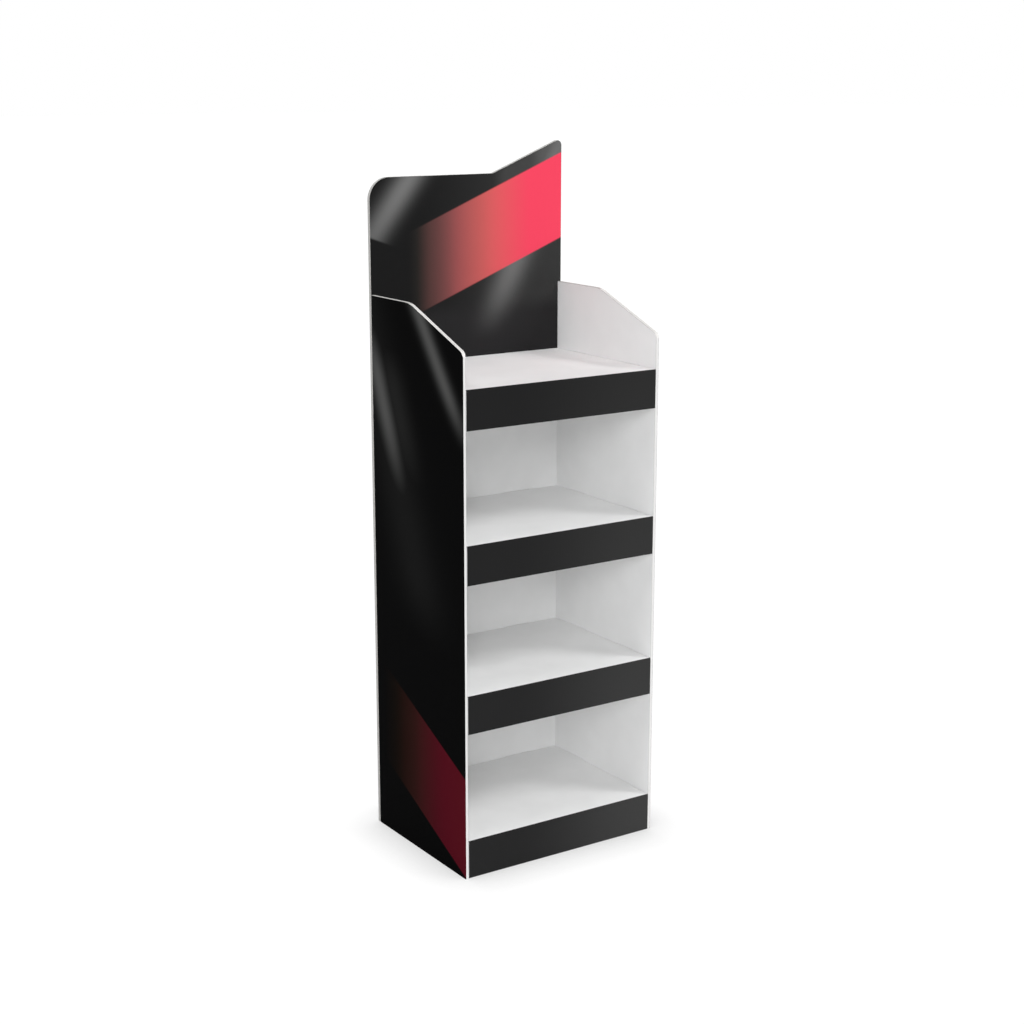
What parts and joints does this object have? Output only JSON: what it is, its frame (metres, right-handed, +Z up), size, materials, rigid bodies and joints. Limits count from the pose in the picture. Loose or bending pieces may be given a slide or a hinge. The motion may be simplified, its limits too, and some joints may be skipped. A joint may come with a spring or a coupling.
{
  "type": "cardboard display stand",
  "caption": "Free-standing shop display of corrugated board: double side walls, a back board with a shaped header, and folded shelves with front lips.",
  "frame": {"origin": "middle of the footprint, on the floor", "axes": "+Z up, +Y from the open front to the back board, +X to the right seen from the front"},
  "size_m": [0.466, 0.357, 1.4378],
  "materials": {
    "back_board": "matte",
    "side_board": "satin",
    "shelf_board": "matte",
    "support_board": "matte"
  },
  "bodies": {
    "root": {"back_board": "back_board", "left_side": "side_board", "right_side": "side_board", "base_shelf": "shelf_board", "lower_shelf": "shelf_board", "upper_shelf": "shelf_board", "top_shelf": "shelf_board", "lower_brace": "support_board", "upper_brace": "support_board", "top_brace": "support_board", "base_rib_long": "support_board", "base_rib_left": "support_board", "base_rib_right": "support_board"}
  },
  "joints": []
}
